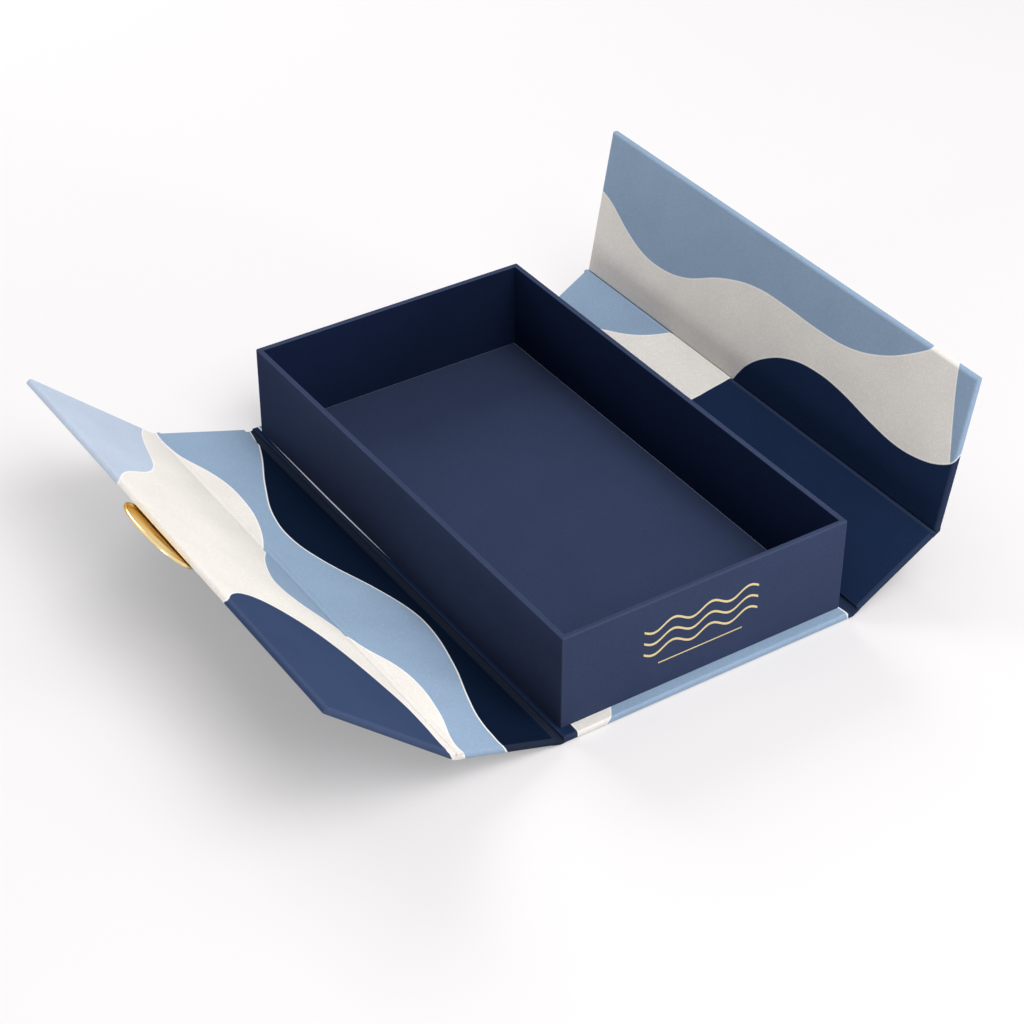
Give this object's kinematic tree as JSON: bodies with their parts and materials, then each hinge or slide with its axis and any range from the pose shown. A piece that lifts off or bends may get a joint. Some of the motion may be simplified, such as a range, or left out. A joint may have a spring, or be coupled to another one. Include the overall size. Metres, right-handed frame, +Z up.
{
  "type": "dual door opening box",
  "caption": "Rigid covered-board gift box: an open tray on a base panel, with a folding door of side and top panels on each side and a gilt half-moon pull on the left door.",
  "frame": {"origin": "centre of the flat underside of the base panel, where the box stands on a table", "axes": "+Z up, +X towards the right door, +Y along the tray to its far end"},
  "size_m": [0.2581, 0.2084, 0.0808],
  "materials": {
    "grey_board": "raw grey board, matt",
    "wrap_paper": "navy uncoated covering paper, matt",
    "cover_paper": "navy uncoated covering paper, matt",
    "print_blue": "printed covering paper, matt laminated",
    "print_cream": "printed covering paper, matt laminated",
    "print_navy": "printed covering paper, matt laminated",
    "tape": "kraft paper tape",
    "foil": "hot-stamped gold foil, bright",
    "clasp": "gold-plated steel, polished",
    "rivet": "polished brass",
    "magnet": "nickel-plated magnet"
  },
  "bodies": {
    "case_base": {"tray_board": "grey_board", "corner_stays": "tape", "tray_wrap": "wrap_paper", "tray_floor_card": "wrap_paper", "foil_emblem": "foil", "base_board": "grey_board", "base_lining": "print_blue", "base_cover": "cover_paper"},
    "left_side": {"left_side_board": "grey_board", "left_side_lining": "print_blue", "left_side_cover": "cover_paper"},
    "left_top": {"left_top_board": "grey_board", "left_top_lining": "print_cream", "left_top_cover": "cover_paper", "clasp_plate": "clasp", "clasp_rivets": "rivet"},
    "right_side": {"right_side_board": "grey_board", "right_side_lining": "print_navy", "right_side_cover": "cover_paper"},
    "right_top": {"right_top_board": "grey_board", "right_top_lining": "print_blue", "right_top_cover": "cover_paper", "closure_magnets": "magnet"}
  },
  "joints": [
    {"name": "left_side_hinge", "type": "hinge", "parent": "case_base", "child": "left_side", "pos_m": [-0.06, 0, 0], "axis": [0, 1, 0], "range_deg": [-17, 72]},
    {"name": "left_top_hinge", "type": "hinge", "parent": "left_side", "child": "left_top", "pos_m": [-0.10004, 0, 0.01301], "axis": [0, 1, 0], "range_deg": [-24, 66]},
    {"name": "right_side_hinge", "type": "hinge", "parent": "case_base", "child": "right_side", "pos_m": [0.06, 0, 0], "axis": [0, -1, 0], "range_deg": [-31, 59]},
    {"name": "right_top_hinge", "type": "hinge", "parent": "right_side", "child": "right_top", "pos_m": [0.09609, 0, 0.02168], "axis": [0, -1, 0], "range_deg": [-49, 41]}
  ]
}
